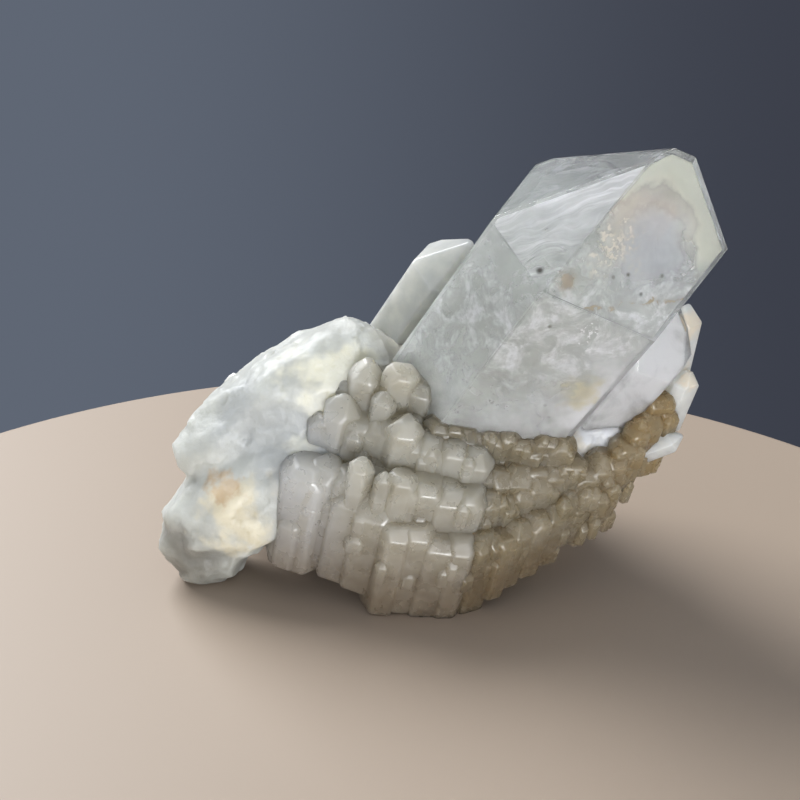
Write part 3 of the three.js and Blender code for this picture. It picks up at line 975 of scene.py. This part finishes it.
def veils_below():
    """Under the front right side face: a white cloud low down whose brightness is partly a painted glow,
    painted glints of light and an ochre patch.
    """
    finish = Finish("veils_below")
    height = finish.along(UPWARDS)
    colour, amount = veiled(finish)
    amount = finish.math("MULTIPLY", amount, finish.span(height, 40, 56, 0.3, 1.0))
    grains = finish.span(finish.noise(0.8, detail=4), 0.5, 0.62)
    # The white cloud low down: partly real cloud, partly a painted glow of light passing through the
    # crystal.
    cloud = finish.near((40.2, -6.5, 42), 18, ragged=4)
    patch = finish.near((32.5, -8.5, 46.4), 5.2, ragged=1.8)
    # Painted glints: small white grains that stand in for glints of light.
    painted_glints = finish.math("MULTIPLY", finish.near((31.9, -13.5, 59.2), 6, ragged=3), grains)
    for part, tint, share in (
        (cloud, (0.99, 0.995, 1.0), 0.9),
        (finish.math("MULTIPLY", patch, 0.7), (0.78, 0.71, 0.48), 0.9),
        (painted_glints, (1.0, 1.0, 1.0), 0.8),
    ):
        colour = finish.blend(part, colour, tint)
        amount = finish.math("MAXIMUM", amount, finish.math("MULTIPLY", part, share))
    spots = ((25.4, -15.6, 61.1), (26.2, -8.4, 42.9), (27.2, -7.2, 39.9))
    return cloud_sheet(finish, *with_specks(finish, colour, amount, spots))


def faint_veil(name):
    """Under a left face: the faint cloud alone."""
    finish = Finish(name)
    colour, amount = veiled(finish)
    fading = finish.span(finish.along(UPWARDS), 36, 60, 0.0, 0.8)
    return cloud_sheet(finish, colour, finish.math("MULTIPLY", amount, fading))


def use(piece, material):
    piece.data.materials.clear()
    piece.data.materials.append(material)
    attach(piece, "root")
    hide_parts("quartz_cluster")


def stage():
    """A plain pale round floor under the cluster."""
    place = (*FLOOR_CENTRE, -FLOOR_THICKNESS / 2)
    size = dict(radius=FLOOR_RADIUS, depth=FLOOR_THICKNESS)
    bpy.ops.mesh.primitive_cylinder_add(vertices=256, location=place, **size)
    floor = bpy.context.object
    floor.name = "floor"
    edge = floor.modifiers.new("edge", "BEVEL")
    edge.width, edge.segments = 0.002, 4
    floor.data.shade_smooth()
    floor.data.set_sharp_from_angle(angle=math.radians(SHARP_ANGLE))
    finish = Finish("floor")
    finish.set(Base_Color=FLOOR_COLOUR, Roughness=0.55)
    floor.data.materials.append(finish.material)


def sky():
    """Soft light from the room in front, and a dark wall behind."""
    world = bpy.data.worlds.new("sky")
    bpy.context.scene.world = world
    world.use_nodes = True
    tree = world.node_tree
    tree.nodes.clear()
    out = tree.nodes.new("ShaderNodeOutputWorld")
    back = tree.nodes.new("ShaderNodeBackground")
    tree.links.new(back.outputs[0], out.inputs[0])
    way = tree.nodes.new("ShaderNodeTexCoord").outputs["Generated"]
    split = tree.nodes.new("ShaderNodeSeparateXYZ")
    tree.links.new(way, split.inputs[0])
    room = mixed_sky(tree, split.outputs["Z"], -0.05, 0.6, (0.27, 0.28, 0.295), (0.46, 0.495, 0.55))
    wall = mixed_sky(tree, split.outputs["X"], -0.3, 0.35, (0.115, 0.135, 0.175), (0.045, 0.05, 0.068))
    shade = tree.nodes.new("ShaderNodeMapRange")
    shade.inputs["From Min"].default_value = 0.35
    shade.inputs["From Max"].default_value = 0.75
    tree.links.new(split.outputs["Y"], shade.inputs["Value"])
    both = tree.nodes.new("ShaderNodeMix")
    both.data_type = "RGBA"
    tree.links.new(shade.outputs[0], both.inputs["Factor"])
    tree.links.new(room, both.inputs[6])
    tree.links.new(wall, both.inputs[7])
    tree.links.new(both.outputs[2], back.inputs["Color"])
    back.inputs["Strength"].default_value = 1.0


def mixed_sky(tree, along, low, high, start, end):
    """A colour that goes from start to end as the direction's coordinate goes from low to high."""
    share = tree.nodes.new("ShaderNodeMapRange")
    share.interpolation_type = "SMOOTHSTEP"
    share.inputs["From Min"].default_value = low
    share.inputs["From Max"].default_value = high
    tree.links.new(along, share.inputs["Value"])
    mixer = tree.nodes.new("ShaderNodeMix")
    mixer.data_type = "RGBA"
    tree.links.new(share.outputs[0], mixer.inputs["Factor"])
    mixer.inputs[6].default_value = (*start, 1)
    mixer.inputs[7].default_value = (*end, 1)
    return mixer.outputs[2]


def area_light(name, place, aim, width, height, power):
    light = bpy.data.lights.new(name, "AREA")
    light.shape, light.energy, light.color = "ELLIPSE", power, LIGHT_COLOUR
    light.size, light.size_y = width, height
    lamp = bpy.data.objects.new(name, light)
    lamp.location = place
    lamp.rotation_euler = (Vector(aim) - Vector(place)).to_track_quat("-Z", "Y").to_euler()
    bpy.context.scene.collection.objects.link(lamp)


def camera():
    view = bpy.data.cameras.new("camera")
    view.lens, view.sensor_width = CAMERA_LENS, CAMERA_SENSOR
    view.clip_start = 0.005
    eye = bpy.data.objects.new("camera", view)
    eye.location = CAMERA_PLACE
    eye.rotation_euler = (math.radians(CAMERA_TILT), 0, 0)
    bpy.context.scene.collection.objects.link(eye)
    bpy.context.scene.camera = eye


scene = bpy.context.scene
scene.view_settings.view_transform = "Standard"
scene.cycles.transparent_max_bounces = 24
scene.cycles.max_bounces = 16
scene.cycles.transmission_bounces = 14
scene.cycles.diffuse_bounces = 10

camera()
stage()
sky()
area_light("window", **WINDOW)
area_light("fill", **FILL)
use(main_crystal(), clear_quartz())
use(side_crystals(), satin_quartz())
use(columns(), candle_quartz())
use(crust(), crust_quartz())
use(base(), milky_quartz())
haze_shells()
use(veil("streak_veil", FACE_T1, VEIL_DEPTH), streaks())
use(veil("phantom_veil", FACE_T2, VEIL_DEPTH), phantom())
use(veil("lower_veil", FACE_P2, VEIL_DEPTH), veils_below())
use(veil("ridge_veil", FACE_T0, VEIL_DEPTH), faint_veil("ridge"))
use(veil("side_veil", FACE_P1, VEIL_DEPTH), faint_veil("side"))
